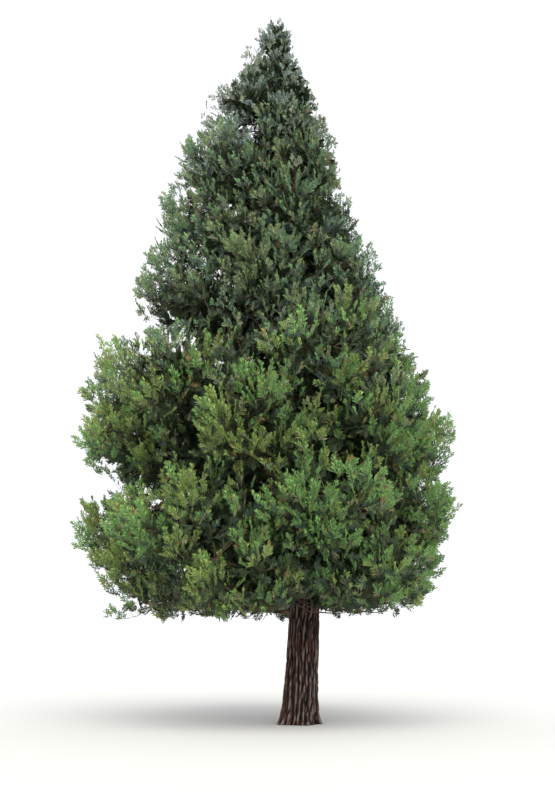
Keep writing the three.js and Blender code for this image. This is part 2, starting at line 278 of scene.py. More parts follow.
TRUNK_RIDGES = 20
TRUNK_BARK_ROWS = 2.1
TRUNK_BARK_SEED = 11
BARK_DEPTH = 0.034
BARK_FADE_HEIGHT = 6.0
BARK_MIDDLE = 0.6
END_RELIEF = 0.5

low_rings = np.linspace(0, BARE_HEIGHT, BARE_RINGS)
high_share = np.linspace(0, 1, HIDDEN_RINGS + 1)[1:]
high_rings = between(BARE_HEIGHT, TREE_HEIGHT, high_share)
ring_height = np.concatenate([low_rings, high_rings])[:, None]
column_turn = (FULL_TURN * np.arange(TRUNK_COLUMNS) / TRUNK_COLUMNS)[None, :]
height_grid, turn_grid = np.broadcast_arrays(ring_height, column_turn)
trunk_relief = bark_relief(turn_grid, height_grid, TRUNK_RIDGES, TRUNK_BARK_ROWS, TRUNK_BARK_SEED)
lobes = 1 + FLARE_LOBE_SHARE * np.cos(FLARE_LOBES * column_turn) * np.exp(-ring_height / FLARE_LOBE_HEIGHT)
bark_depth = BARK_DEPTH * np.exp(-ring_height / BARK_FADE_HEIGHT) * (1 - ring_height / TREE_HEIGHT)
trunk_out = trunk_radius(ring_height) * lobes + bark_depth * (trunk_relief - BARK_MIDDLE)
trunk_points = trunk_centre(height_grid)
trunk_points[..., 0] += trunk_out * np.cos(column_turn)
trunk_points[..., 1] += trunk_out * np.sin(column_turn)
trunk_ends = trunk_centre(np.array([0.0, TREE_HEIGHT]))
trunk = make_piece(
    "trunk_bark",
    np.concatenate([trunk_points.reshape(-1, 3), trunk_ends]),
    ring_faces(len(ring_height), TRUNK_COLUMNS),
    True,
)
keep_relief(trunk, np.append(trunk_relief.ravel(), [END_RELIEF, END_RELIEF]))
# The near-black furrow colour is painted shade; the flanks and crests are the bark's own red brown and
# grey.
trunk.data.materials.append(
    bark_finish(
        "furrowed_bark",
        furrow_shade=linear(16, 13, 12),
        flank=linear(72, 50, 42),
        crest=linear(112, 102, 98),
        patches_per_metre=3.0,
        fibres_per_metre=60.0,
        bump_depth=0.006,
    )
)
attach(trunk, "root")
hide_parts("trunk")

# Boughs: one tapering limb to each mass of foliage. It leaves the trunk low, rises and bows into the
# middle of its mass, and runs on towards the mass's outer end. The bark is thin, scaly and grey brown.
# The crown's reach is a table of heights, each with the reach to the left and to the right.
CROWN_REACH = np.array(
    [
        [1.7, 3.7, 2.3],
        [3.3, 4.25, 2.7],
        [4.7, 4.2, 2.8],
        [5.7, 4.66, 2.4],
        [6.9, 3.35, 1.8],
        [8.1, 2.86, 1.28],
        [9.4, 2.46, 0.94],
        [10.5, 1.82, 0.68],
        [11.4, 1.32, 0.44],
        [12.1, 0.6, 0.3],
        [12.7, 0.33, 0.26],
    ]
)
# A tier's masses: how many, how far they are turned and tipped in degrees, and half their height. The
# further one reaches beyond the mean, the more its droop lowers it.
TIERS = [
    {"height": 2.44, "count": 6, "turn": 180, "half": 0.86, "tip": -4, "droop": 0.2},
    {"height": 3.34, "count": 7, "turn": 172, "half": 0.92, "tip": -2, "droop": 0.2},
    {"height": 4.64, "count": 7, "turn": 143, "half": 0.98, "tip": 2, "droop": 0.2},
    {"height": 5.76, "count": 6, "turn": 160, "half": 1.04, "tip": 4, "droop": 0.3},
    {"height": 7.4, "count": 6, "turn": 188, "half": 1.08, "tip": 12, "droop": 0},
    {"height": 8.6, "count": 5, "turn": 198, "half": 0.98, "tip": 18, "droop": 0},
    {"height": 9.64, "count": 4, "turn": 204, "half": 0.88, "tip": 24, "droop": 0},
    {"height": 10.52, "count": 3, "turn": 160, "half": 0.8, "tip": 30, "droop": 0},
    {"height": 11.3, "count": 3, "turn": 200, "half": 0.64, "tip": 32, "droop": 0},
    {"height": 12.06, "count": 2, "turn": 165, "half": 0.62, "tip": 46, "droop": 0},
]
SEEDS_PER_TIER = 1000
LEADER_HEIGHT = 12.64
LEADER_WIDTH = 0.33
LEADER_HALF = 0.46
LENGTH_SHARE = 0.5
LENGTH_MOST = 1.3
WIDTH_SHARE = 1.6
WIDTH_MOST = 1.35
REACH_VARIATION = 0.06
HEIGHT_VARIATION = 0.12
SPACE_GAP = 0.026
SPACE_EASE = 1.2
TRUNK_CLEARANCE = 0.045
LOWEST_TIP = 1.65


def draw_stream(seed):
    """A repeatable stream of numbers from 0 to 1: the next state is 1664525 times the last plus
    1013904223, kept below 2^32."""
    state = seed
    while True:
        state = (state * 1664525 + 1013904223) % 2**32
        yield state / 2**32


def crown_reach(angle, height):
    """Reach from the trunk's line: the left or right reach of the table by the square of the cosine, and
    the mean of the two for the rest of the way round."""
    left = np.interp(height, CROWN_REACH[:, 0], CROWN_REACH[:, 1])
    right = np.interp(height, CROWN_REACH[:, 0], CROWN_REACH[:, 2])
    across = np.cos(angle) ** 2
    side = np.where(np.cos(angle) > 0, right, left)
    return side * across + 0.5 * (left + right) * (1 - across)


def unit(vectors):
    """Vectors divided by their own lengths."""
    return vectors / np.linalg.norm(vectors, axis=-1, keepdims=True)


def outward_at(angle):
    """Level unit directions, outwards from the trunk at the given turns."""
    return np.stack([np.cos(angle), np.sin(angle), 0 * angle], axis=-1)


def mass_at(tier, number, index):
    """One foliage mass's place: an ellipsoid whose long axis points outwards and is tipped up. A mass
    that reaches further than the mean hangs lower."""
    draws = draw_stream(SEEDS_PER_TIER * number + index)
    angle = np.radians(tier["turn"]) + FULL_TURN * index / tier["count"]
    reach = crown_reach(angle, tier["height"]) * (1 + REACH_VARIATION * (next(draws) - 0.5))
    mean = crown_reach(np.pi / 2, tier["height"])
    height = tier["height"] + HEIGHT_VARIATION * (next(draws) - 0.5) - tier["droop"] * (reach - mean)
    tip = np.radians(tier["tip"])
    length = min(LENGTH_MOST, LENGTH_SHARE * reach)
    ring = reach - length * np.cos(tip)
    width = WIDTH_SHARE * ring * np.sin(np.pi / tier["count"])
    outward = outward_at(angle)
    ahead = outward * np.cos(tip) + UP * np.sin(tip)
    across = np.cross(UP, outward)
    return {
        "node": f"foliage_{number + 1}_{index + 1}",
        "draws": draws,
        "outward": outward,
        "centre": trunk_centre(height) + outward * ring,
        "axes": np.array([ahead, across, np.cross(ahead, across)]),
        "sizes": np.array([length, min(width, WIDTH_MOST * length), tier["half"]]),
        "ring": ring,
        "share": number / len(TIERS),
        "planes": [],
    }


def part_masses(one, other):
    """Where two masses' ellipsoids would meet, a plane between them bounds each to its own side."""
    away = other["centre"] - one["centre"]
    distance = np.linalg.norm(away)
    away = away / distance
    near = np.linalg.norm(one["sizes"] * (one["axes"] @ away))
    far = np.linalg.norm(other["sizes"] * (other["axes"] @ away))
    if distance > SPACE_EASE * (near + far) + 2 * SPACE_GAP:
        return
    split = distance * near / (near + far)
    one["planes"].append((away, one["centre"] @ away + split - SPACE_GAP))
    other["planes"].append((-away, distance - split - SPACE_GAP - other["centre"] @ away))


def inside(mass, points, ease, past):
    """Which points lie in a mass's space: its ellipsoid made larger by ease, above the lowest tips, clear
    of the trunk, and on its own side of every plane or no further than past beyond it."""
    parts = (points - mass["centre"]) @ mass["axes"].T / mass["sizes"]
    kept = (np.linalg.norm(parts, axis=-1) <= ease) & (points[..., 2] >= LOWEST_TIP)
    if mass["outward"] is not None:
        clear = (points - trunk_centre(points[..., 2])) @ mass["outward"]
        kept &= clear >= trunk_radius(points[..., 2]) + TRUNK_CLEARANCE
    for normal, limit in mass["planes"]:
        kept &= points @ normal < limit + past
    return kept


masses = [
    mass_at(tier, number, index) for number, tier in enumerate(TIERS) for index in range(tier["count"])
]
masses.append(
    {
        "node": "foliage_leader",
        "draws": draw_stream(SEEDS_PER_TIER * len(TIERS)),
        "outward": None,
        "centre": trunk_centre(LEADER_HEIGHT),
        "axes": np.array([UP, [1.0, 0.0, 0.0], [0.0, 1.0, 0.0]]),
        "sizes": np.array([LEADER_HALF, LEADER_WIDTH, LEADER_WIDTH]),
        "ring": 0.0,
        "share": 1.0,
        "planes": [],
    }
)
for number, mass in enumerate(masses):
    for other in masses[number + 1 :]:
        part_masses(mass, other)

LIMB_RADIUS_SHARE = 0.021
LIMB_TO_TRUNK = 0.42
LIMB_END_SHARE = 0.42
LIMB_RISE = (0.16, 0.75)
LIMB_BOW = 0.1
LIMB_RINGS = 27
LIMB_INNER_RINGS = 18
LIMB_SIDES = 10
RUN_ON = 0.62
RUN_ON_BEND = 0.3
RUN_ON_LIFT = 0.25
RUN_ON_TAPER = 0.8
TINY = 1e-6


def bezier(start, middle, end, share):
    """Points of a quadratic curve, and its unit directions there."""
    share = share[..., None]
    points = (1 - share) ** 2 * start + 2 * share * (1 - share) * middle + share**2 * end
    ahead = (1 - share) * (middle - start) + share * (end - middle)
    return points, unit(ahead)


def limb_curve(mass):
    """Start, middle and end of a limb's curve, from the trunk's line to the middle of its mass."""
    rise = mass["ring"] * between(*LIMB_RISE, mass["share"])
    start = trunk_centre(mass["centre"][2] - rise)
    middle = 0.5 * (start + mass["centre"]) - UP * LIMB_BOW * mass["ring"]
    return start, middle, mass["centre"]


def tube_points(points, ahead, radius, sides):
    """Rings of points round many paths: each ring lies square to the path, at the given radius."""
    across = np.cross(UP, ahead)
    across = unit(across + TINY * np.array([1.0, 0.0, 0.0]))
    over = np.cross(ahead, across)
    turn = FULL_TURN * np.arange(sides) / sides
    ring = np.cos(turn)[:, None] * across[..., None, :] + np.sin(turn)[:, None] * over[..., None, :]
    return points[..., None, :] + radius[..., None] * ring


def many(faces, points_each, count):
    """The same faces for each of many equal sets of points, one set after another."""
    shift = points_each * np.arange(count)[:, None, None]
    return (faces[None] + shift).reshape(-1, 3)


def tubes(name, points, ahead, radius, sides):
    """A piece of many closed tubes, from arrays of paths by rings and of radii by points of each ring."""
    count, rings = points.shape[:2]
    rounds = tube_points(points, ahead, radius, sides).reshape(count, rings * sides, 3)
    ends = points[:, [0, -1]]
    places = np.concatenate([rounds, ends], axis=1)
    faces = many(ring_faces(rings, sides), rings * sides + 2, count)
    return make_piece(name, places.reshape(-1, 3), faces, True)


limb_paths = []
limb_aheads = []
limb_radii = []
share_in = np.linspace(0, 1, LIMB_INNER_RINGS)
share_out = np.linspace(0, 1, LIMB_RINGS - LIMB_INNER_RINGS + 1)[1:]
for mass in masses[:-1]:
    start, middle, end = limb_curve(mass)
    points_in, ahead_in = bezier(start, middle, end, share_in)
    turn_on = end + RUN_ON_BEND * mass["sizes"][0] * ahead_in[-1]
    run_on = end + RUN_ON * mass["sizes"][0] * unit(mass["axes"][0] + RUN_ON_LIFT * UP)
    points_out, ahead_out = bezier(end, turn_on, run_on, share_out)
    span = np.linalg.norm(np.diff(points_in, axis=0), axis=1).sum()
    thick = min(LIMB_RADIUS_SHARE * span, LIMB_TO_TRUNK * trunk_radius(start[2]))
    taper_in = between(1, LIMB_END_SHARE, share_in)
    taper_out = LIMB_END_SHARE * (1 - RUN_ON_TAPER * share_out)
    limb_paths.append(np.concatenate([points_in, points_out]))
    limb_aheads.append(np.concatenate([ahead_in, ahead_out]))
    limb_radii.append(thick * np.concatenate([taper_in, taper_out]))
    mass["limb"] = (start, middle, end)
limb_paths = np.array(limb_paths)
limb_radii = np.array(limb_radii)
limb_count = len(limb_paths)

LIMB_BARK_DEPTH = 0.16
LIMB_BARK_MIDDLE = 0.5
LIMB_RIDGES = 6
LIMB_BARK_ROWS = 4.0
LIMB_BARK_SEED = 40
BOUGHS = [f"bough_{number}" for number in range(1, 10)]

side_turn = (FULL_TURN * np.arange(LIMB_SIDES) / LIMB_SIDES)[None, :]
limb_along = np.linalg.norm(np.diff(limb_paths, axis=1), axis=2).cumsum(axis=1)
limb_along = np.concatenate([np.zeros((limb_count, 1)), limb_along], axis=1)
limb_relief = []
for number, along in enumerate(limb_along):
    turns, lengths = np.broadcast_arrays(side_turn, along[:, None])
    limb_relief.append(bark_relief(turns, lengths, LIMB_RIDGES, LIMB_BARK_ROWS, LIMB_BARK_SEED + number))
limb_relief = np.array(limb_relief)
limb_out = limb_radii[..., None] * (1 + LIMB_BARK_DEPTH * (limb_relief - LIMB_BARK_MIDDLE))
boughs = tubes("bough_bark", limb_paths, np.array(limb_aheads), limb_out, LIMB_SIDES)
end_relief = np.full((limb_count, 2), END_RELIEF)
keep_relief(boughs, np.concatenate([limb_relief.reshape(limb_count, -1), end_relief], axis=1))
# Scaly grey brown bark, with painted shade as a darker brown in its furrows.
boughs.data.materials.append(
    bark_finish(
        "scaly_bark",
        furrow_shade=linear(48, 38, 32),
        flank=linear(98, 76, 62),
        crest=linear(122, 114, 104),
        patches_per_metre=9.0,
        fibres_per_metre=160.0,
        bump_depth=0.003,
    )
)
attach(boughs, "root")
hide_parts(*BOUGHS)

# Twigs: in each mass, plumes grow from its limb, spread evenly over the mass by a turn of the golden
# angle, and more plumes fill the hollows and clothe the trunk's top. A plume is one upswept stem with
# flat branchlets round its outer part; its puff is their reach. This section only finds their places.
GOLDEN_ANGLE = np.pi * (3 - np.sqrt(5))
# A mass's stream of numbers gives those of its solid core first, and then the same few for each twig.
CORE_DRAWS = 18
TWIG_DRAWS = 3
TWIGS_LEAST = 7
TWIGS_MOST = 9
TWIGS_PER_METRE = 8
TWIG_SPREAD = 1.4
TWIG_TURN_VARIATION = 0.5
TWIG_REACH = 0.95
TWIG_REACH_VARIATION = 0.04
TWIG_SHORTEST = 0.6
TWIG_ROOT_SHARE = 0.3
TWIG_LIFT = 0.45
TWIG_SEED = 7
SHORTENING = 0.06
SIBLINGS = 3
PUFF_SHARE = 0.32
PUFF_VARIED = (0.7, 0.6)
PUFF_BODY = 0.6
PUFF_SIDE = 0.7
PUFF_PAST_STEM = 0.85
ROOT_ON_LIMB = 0.72
ROOT_BY_LEVEL = 0.28
LEADER_ROOT_DROP = 0.5
LEADER_ROOT_BY_LEVEL = 0.55

rng = np.random.default_rng(TWIG_SEED)


def varied(shape, least, spread):
    """Seeded numbers from least to least plus spread."""
    return least + spread * rng.random(shape)


def either_way(shape):
    """Seeded numbers from -1 to 1."""
    return 2 * rng.random(shape) - 1


def sideways(ahead):
    """Level directions square to the given ones, with a nudge for any that point straight up."""
    return unit(np.cross(ahead, UP) + TINY)


def mass_plumes(mass):
    """A mass's plumes by its twig rule, each twig with siblings turned evenly round the same long axis.
    A plume reaches as far out as its tip and sides still lie in the mass's space, or is left out."""
    for _ in range(CORE_DRAWS):
        next(mass["draws"])
    sizes = mass["sizes"]
    count = int(np.clip(np.round(TWIGS_PER_METRE * (sizes[0] + sizes[1]) / 2), TWIGS_LEAST, TWIGS_MOST))
    draws = np.array([[next(mass["draws"]) for _ in range(TWIG_DRAWS)] for _ in range(count)])
    number = np.repeat(np.arange(count), SIBLINGS)
    sibling = np.tile(np.arange(SIBLINGS), count)
    level = 1 - TWIG_SPREAD * (number + sibling / SIBLINGS) / count
    ring = np.sqrt(np.maximum(0, 1 - level**2))
    turn = GOLDEN_ANGLE * number + TWIG_TURN_VARIATION * draws[number, 0] + FULL_TURN * sibling / SIBLINGS
    stretch = TWIG_REACH + TWIG_REACH_VARIATION * draws[number, 2]
    local = np.stack([level, ring * np.cos(turn), ring * np.sin(turn)], axis=1) * stretch[:, None]
    out = (local * sizes) @ mass["axes"]
    puff = PUFF_SHARE * sizes.mean() * varied(len(number), *PUFF_VARIED)
    from_root = mass["centre"] - TWIG_ROOT_SHARE * sizes[0] * mass["axes"][0]
    best = np.zeros(len(number))
    for share in np.arange(TWIG_SHORTEST, 1, SHORTENING):
        end = mass["centre"] + out * share
        ahead = unit(unit(end - from_root) + UP * TWIG_LIFT)
        body = end - PUFF_BODY * puff[:, None] * ahead
        half = PUFF_SIDE * puff[:, None] * sideways(ahead)
        fits = inside(mass, end, SPACE_EASE, 0)
        fits &= inside(mass, body + half, SPACE_EASE, 0)
        fits &= inside(mass, body - half, SPACE_EASE, 0)
        best = np.where(fits, share, best)
    kept = best > 0
    end = mass["centre"] + out * best[:, None]
    ahead = unit(unit(end - from_root) + UP * TWIG_LIFT)
    if "limb" in mass:
        root, _ = bezier(*mass["limb"], np.clip(ROOT_ON_LIMB + ROOT_BY_LEVEL * level, 0, 1))
    else:
        rise = LEADER_HALF * (LEADER_ROOT_BY_LEVEL * level - LEADER_ROOT_DROP)
        root = trunk_centre(mass["centre"][2] + rise)
    return {
        "tip": (end - PUFF_PAST_STEM * puff[:, None] * ahead)[kept],
        "ahead": ahead[kept],
        "root": root[kept],
        "puff": puff[kept],
    }


FILL_COUNT = 3000
FILL_THINNING = 0.6
FILL_TOP = 12.95
FILL_FOOT = 2.05
FILL_DEPTHS = (0.42, 0.6, 0.78, 0.94)
FILL_LOW_SHARE = 0.88
FILL_LOW_HEIGHTS = (5.6, 7.2)
FILL_ROOM = (1.3, 1.45, 1.3, 1.0, 1.3, 0.95, 1.15)
FILL_ROOM_HEIGHTS = (2.6, 4.4, 6.0, 6.8, 7.6, 10.9, 13.0)
FILL_LIFT = 0.6
FILL_PUFF = (0.34, 0.15)
SIZE_VARIED = (0.8, 0.4)
WOOD_STEP = 0.1
RULED_OUT = 10


def from_trunk(points):
    """Level distances of points from the trunk's centre line."""
    away = points - trunk_centre(points[..., 2])
    return np.hypot(away[..., 0], away[..., 1])


def filling_plumes(others):
    """Plumes that fill the hollows between the masses. Their ends are spread by the golden angle over
    smaller crowns inside the crown, and kept where no other plume is near. Each grows from the nearest
    place on a limb or the trunk that is lower and further in."""
    order = (np.arange(FILL_COUNT) + 0.5) / FILL_COUNT
    height = between(FILL_TOP, FILL_FOOT, (1 - order) ** FILL_THINNING)
    angle = (GOLDEN_ANGLE * np.arange(FILL_COUNT)) % FULL_TURN
    depth = np.array(FILL_DEPTHS)[np.arange(FILL_COUNT) % len(FILL_DEPTHS)]
    depth = depth * np.interp(height, FILL_LOW_HEIGHTS, (FILL_LOW_SHARE, 1))
    reach = crown_reach(angle, height) * depth
    outward = outward_at(angle)
    end = trunk_centre(height) + outward * reach[:, None]
    ahead = unit(outward + UP * FILL_LIFT)
    puff = between(*FILL_PUFF, height / TREE_HEIGHT) * varied(FILL_COUNT, *SIZE_VARIED)
    tip = end - PUFF_PAST_STEM * puff[:, None] * ahead
    near = np.linalg.norm(tip[:, None] - others[None], axis=2).min(axis=1)
    free = near > puff * np.interp(height, FILL_ROOM_HEIGHTS, FILL_ROOM)
    trunk_wood = trunk_centre(np.arange(FILL_FOOT, TREE_HEIGHT, WOOD_STEP))
    wood = np.concatenate([limb_paths.reshape(-1, 3), trunk_wood])
    away = np.linalg.norm(end[:, None] - wood[None], axis=2)
    away += RULED_OUT * (from_trunk(wood)[None] > reach[:, None])
    away += RULED_OUT * (wood[None, :, 2] > height[:, None])
    root = wood[away.argmin(axis=1)]
    return {"tip": tip[free], "ahead": ahead[free], "root": root[free], "puff": puff[free]}


def bell(value, middle, half):
    """A bell curve: 1 at the middle, and e to the minus 1 at half its width to either side."""
    return np.exp(-(((value - middle) / half) ** 2))


SHOOT_HEIGHTS = (9.6, 12.9)
SHOOT_COUNT = 170
SHOOT_THINNING = 0.8
SHOOT_REACHES = (0.5, 0.85, 0.7, 1.15)
SHOOT_SHORTEST = 0.04
SHOOT_LIFT = 1.1
SHOOT_PUFF = 0.17
SHOOT_ROOT_DROP = 0.1
SHOOT_ROOT_SLOPE = 0.5
SHOOT_BULGE = 0.2
SHOOT_BULGE_HEIGHT = 12.45
SHOOT_BULGE_HALF = 0.32
SHOOT_BULGE_MEAN = 0.6
SHOOT_BULGE_LEFT = 0.4


def leader_shoots():
    """Short plumes on the trunk's own top, between its limbs, set round it by the golden angle. They
    reach out further near the tip, and most of all to the left."""
    order = np.arange(SHOOT_COUNT)
    height = between(*SHOOT_HEIGHTS, ((order + 0.5) / SHOOT_COUNT) ** SHOOT_THINNING)
    angle = (GOLDEN_ANGLE * order) % FULL_TURN
    outward = outward_at(angle)
    reach = crown_reach(angle, height) * np.array(SHOOT_REACHES)[order % len(SHOOT_REACHES)]
    puff = SHOOT_PUFF * varied(SHOOT_COUNT, *SIZE_VARIED)
    bulge = bell(height, SHOOT_BULGE_HEIGHT, SHOOT_BULGE_HALF)
    bulge = bulge * (SHOOT_BULGE_MEAN - SHOOT_BULGE_LEFT * np.cos(angle))
    reach = np.maximum(reach + SHOOT_BULGE * bulge - puff, SHOOT_SHORTEST)
    return {
        "tip": trunk_centre(height) + outward * reach[:, None],
        "ahead": unit(outward + UP * SHOOT_LIFT),
        "root": trunk_centre(height - SHOOT_ROOT_SLOPE * reach - SHOOT_ROOT_DROP),
        "puff": puff,
    }


# The outline's unevenness. A notch has its turn in degrees, height, depth as a share of the reach, and
# half width up and down. A bulge is a notch of negative depth. A rise of the hem has its turn in
# degrees, height in metres, and half width in degrees.
FOOT_RISE = 1.3
FOOT_REACH = 0.84
FULL_REACH = 0.96
OUTLINE_VARIATION = 0.16
NOTCHES = (
    (180, 6.8, 0.36, 0.3),
    (180, 4.0, 0.3, 0.28),
    (180, 2.1, 0.12, 0.3),
    (0, 11.5, 0.3, 0.2),
    (0, 9.4, 0.24, 0.24),
    (0, 6.2, 0.1, 0.3),
    (180, 12.5, -0.55, 0.36),
    (0, 12.5, -0.3, 0.34),
    (80, 6.2, 0.16, 0.45),
    (100, 3.8, 0.2, 0.25),
    (70, 8.9, 0.2, 0.25),
    (60, 10.4, 0.16, 0.2),
    (-90, 5.7, 0.1, 0.4),
    (-80, 9.9, 0.1, 0.22),
)
HEM_RISES = (
    (-120, 0.22, 8),
    (-86, 0.4, 11),
    (-48, 0.26, 10),
    (-5, 0.28, 14),
    (38, 0.24, 10),
    (72, 0.3, 14),
    (110, 0.2, 9),
    (148, 0.3, 13),
    (-168, 0.24, 9),
)
HEM_VARIATION = 0.07
SHOULDER_HEIGHTS = (6.1, 6.75)
SHOULDER_DEPTH = 0.13
SHOULDER_HALF = 0.5


def outness(points):
    """A point's distance from the trunk's line as a share of the crown's reach on that side."""
    return from_trunk(points) / crown_reach(np.arctan2(points[..., 1], points[..., 0]), points[..., 2])


def within_outline(points, mood):
    """Which points lie inside the crown's uneven outline. Its reach is drawn in at the foot and at the
    shoulder, varies with the plume's mood, a seeded number, and has notches and bulges. Its lower hem
    is raised round some turns, by a bell curve of the cosine of the angle from each."""
    height = points[..., 2]
    angle = np.arctan2(points[..., 1], points[..., 0])
    rise = np.clip((height - LOWEST_TIP) / FOOT_RISE, 0, 1)
    limit = between(FOOT_REACH, FULL_REACH, rise) + OUTLINE_VARIATION * mood
    shoulder = between(*SHOULDER_HEIGHTS, np.cos(angle) ** 2)
    limit = limit - SHOULDER_DEPTH * bell(height, shoulder, SHOULDER_HALF)
    for turn, notch_height, depth, half in NOTCHES:
        side = np.clip(np.cos(angle - np.radians(turn)), 0, 1)
        limit = limit - depth * side * bell(height, notch_height, half)
    hem = LOWEST_TIP + HEM_VARIATION * (1 - mood)
    for turn, hem_rise, half in HEM_RISES:
        away = (1 - np.cos(angle - np.radians(turn))) / (1 - np.cos(np.radians(half)))
        hem = hem + hem_rise * np.exp(-away)
    return (outness(points) < limit) & (height > hem)


ZONE_HEIGHTS = (-9.0, 6.0, 10.2)
ZONE_BLEND = 2.4
PLUME_BEND = 0.5

plume_lists = [mass_plumes(mass) for mass in masses]
plume_lists.append(filling_plumes(np.concatenate([plumes["tip"] for plumes in plume_lists])))
plume_lists.append(leader_shoots())
plume_mass = np.repeat(np.arange(len(plume_lists)), [len(p["puff"]) for p in plume_lists])
plume = {key: np.concatenate([p[key] for p in plume_lists]) for key in ("tip", "ahead", "root", "puff")}
plume_mood = rng.random(len(plume_mass))
plume_kept = within_outline(plume["tip"], plume_mood)
plume = {key: values[plume_kept] for key, values in plume.items()}
plume_mood = plume_mood[plume_kept]
plume_mass = plume_mass[plume_kept]
plume_level = plume["tip"][:, 2] + ZONE_BLEND * (rng.random(len(plume_mass)) - 0.5)
plume_zone = np.searchsorted(ZONE_HEIGHTS, plume_level, side="right") - 1
plume_span = np.linalg.norm(plume["tip"] - plume["root"], axis=1)
plume_bend = plume["tip"] - PLUME_BEND * plume_span[:, None] * plume["ahead"]


def on_plume(which, share):
    """Points and directions on the curved stems of some plumes, at a share of their length."""
    return bezier(plume["root"][which], plume_bend[which], plume["tip"][which], share)


def counted_off(each):
    """For so many items to each owner: every item's owner, and its number among that owner's."""
    owner = np.repeat(np.arange(len(each)), each)
    number = np.arange(len(owner)) - np.repeat(np.cumsum(each) - each, each)
    return owner, number


BRANCHLET_GAP = 0.036
BRANCHLETS_LEAST = 3
BRANCHLET_FIRST = 0.3
TUFT_DEPTH = 1.4
TUFT_THINNING = 0.7
BRANCHLET_SPREAD = (82, 12)
SPREAD_VARIED = (0.85, 0.3)
BRANCHLET_LIFT = 0.34
BRANCHLET_LONGEST = 0.95
BRANCHLET_SHORTENING = 0.15
BRANCHLET_OUT_SHARE = 0.8
THINNED_WITHIN = 0.74
THINNED_ABOVE = 2.5
UNTHINNED_SHARE = 0.3

branchlets_each = np.maximum(BRANCHLETS_LEAST, np.round(plume["puff"] / BRANCHLET_GAP)).astype(int)
branch_plume, branch_number = counted_off(branchlets_each)
branch_order = (branch_number + 0.5) / branchlets_each[branch_plume]
tuft_share = np.clip(TUFT_DEPTH * plume["puff"] / plume_span, 0, 1 - BRANCHLET_FIRST)[branch_plume]
branch_share = 1 - tuft_share * (1 - branch_order**TUFT_THINNING)
branch_foot, branch_axis = on_plume(branch_plume, branch_share)
axis_side = sideways(branch_axis)
axis_over = np.cross(axis_side, branch_axis)
branch_turn = GOLDEN_ANGLE * branch_number + FULL_TURN * rng.random(len(plume_mass))[branch_plume]
spread = np.radians(between(*BRANCHLET_SPREAD, branch_order)) * varied(len(branch_order), *SPREAD_VARIED)
branch_ahead = (
    np.cos(spread)[:, None] * branch_axis
    + (np.sin(spread) * np.cos(branch_turn))[:, None] * axis_side
    + (np.sin(spread) * np.sin(branch_turn))[:, None] * axis_over
)
branch_length = plume["puff"][branch_plume] * (BRANCHLET_LONGEST - BRANCHLET_SHORTENING * branch_order)
branch_length = branch_length * varied(len(branch_length), *SIZE_VARIED)
branch_out = branch_length[:, None] * (branch_ahead + BRANCHLET_LIFT * UP)
branch_kept = outness(branch_foot + branch_out) > THINNED_WITHIN
branch_kept |= rng.random(len(branch_plume)) < UNTHINNED_SHARE
branch_kept |= (branch_foot + branch_out)[:, 2] < THINNED_ABOVE
branch_kept &= within_outline(branch_foot + BRANCHLET_OUT_SHARE * branch_out, plume_mood[branch_plume])
branch_plume = branch_plume[branch_kept]
branch_foot = branch_foot[branch_kept]
branch_ahead = branch_ahead[branch_kept]
branch_share = branch_share[branch_kept]
branch_length = branch_length[branch_kept]


def bent_line(foot, ahead, length, lift, share):
    """Points and directions on lines: a straight run, plus a lift that grows with the share squared."""
    length = length[:, None]
    share = share[:, None]
    points = foot + length * (share * ahead + lift * share**2 * UP)
    return points, unit(ahead + 2 * lift * share * UP)


def on_branchlet(which, share):
    """Points and directions on some branchlets, which curve upwards."""
    return bent_line(branch_foot[which], branch_ahead[which], branch_length[which], BRANCHLET_LIFT, share)


# Dead twigs: the shade kills the innermost twigs of the lower limbs. They stay on for years, bare,
# brittle and forked, sag under their own weight, and weather to a pale grey.
DEAD_LIMBS = 26
DEAD_EACH = 7
DEAD_FORKS = 3
DEAD_SEATS = (0.22, 0.6)
DEAD_AHEAD = 0.7
DEAD_RISE = 0.7
DEAD_DROOP = 0.25
DEAD_LENGTHS = (0.35, 0.5)
DEAD_SAG = 0.12
DEAD_LOWEST = 1.72
DEAD_CUT_SHARE = 0.3
DEAD_THICK = 0.01
FORK_SEATS = (0.3, 0.6)
FORK_TURN = 0.9
FORK_SHARE = 0.45
FORK_THICK = 0.006


def twig_faces(rings):
    """Corner numbers of a three-sided twig: its rings, a face over its root, and its tip point."""
    ring, side = np.meshgrid(np.arange(rings - 1), np.arange(3), indexing="ij")
    here = 3 * ring + side
    beside = 3 * ring + (side + 1) % 3
    walls = np.stack([here, beside, beside + 3, here, beside + 3, here + 3], axis=-1).reshape(-1, 3)
    last = 3 * (rings - 1)
    head = [[last, last + 1, last + 3], [last + 1, last + 2, last + 3], [last + 2, last, last + 3]]
    return np.concatenate([walls, [[0, 2, 1]], head])


def twigs(name, curve, count, rings, thick, thin):
    """A piece of three-sided twigs that follow a curve rule, each tapering evenly and then to a point."""
    steps = rings + 1
    which = np.repeat(np.arange(count), steps)
    share = np.tile(np.linspace(0, 1, steps), count)
    points, ahead = curve(which, share)
    points = points.reshape(count, steps, 3)
    ahead = ahead.reshape(count, steps, 3)
    radius = between(thick[which], thin, share).reshape(count, steps, 1)
    rounds = tube_points(points[:, :-1], ahead[:, :-1], radius[:, :-1], 3).reshape(count, 3 * rings, 3)
    places = np.concatenate([rounds, points[:, -1:]], axis=1)
    return make_piece(name, places.reshape(-1, 3), many(twig_faces(rings), 3 * rings + 1, count), True)


def finish_plain(piece, material, nodes=()):
    """One plain finish for a joined piece that rides with the tree."""
    piece.data.materials.append(material)
    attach(piece, "root")
    if nodes:
        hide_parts(*nodes)


def shortened_low(foot, ahead, length):
    """Lengths of bare twigs, less for those that would hang too low."""
    low = foot[:, 2] + length * (ahead[:, 2] - DEAD_SAG) < DEAD_LOWEST
    return np.where(low, DEAD_CUT_SHARE * length, length)


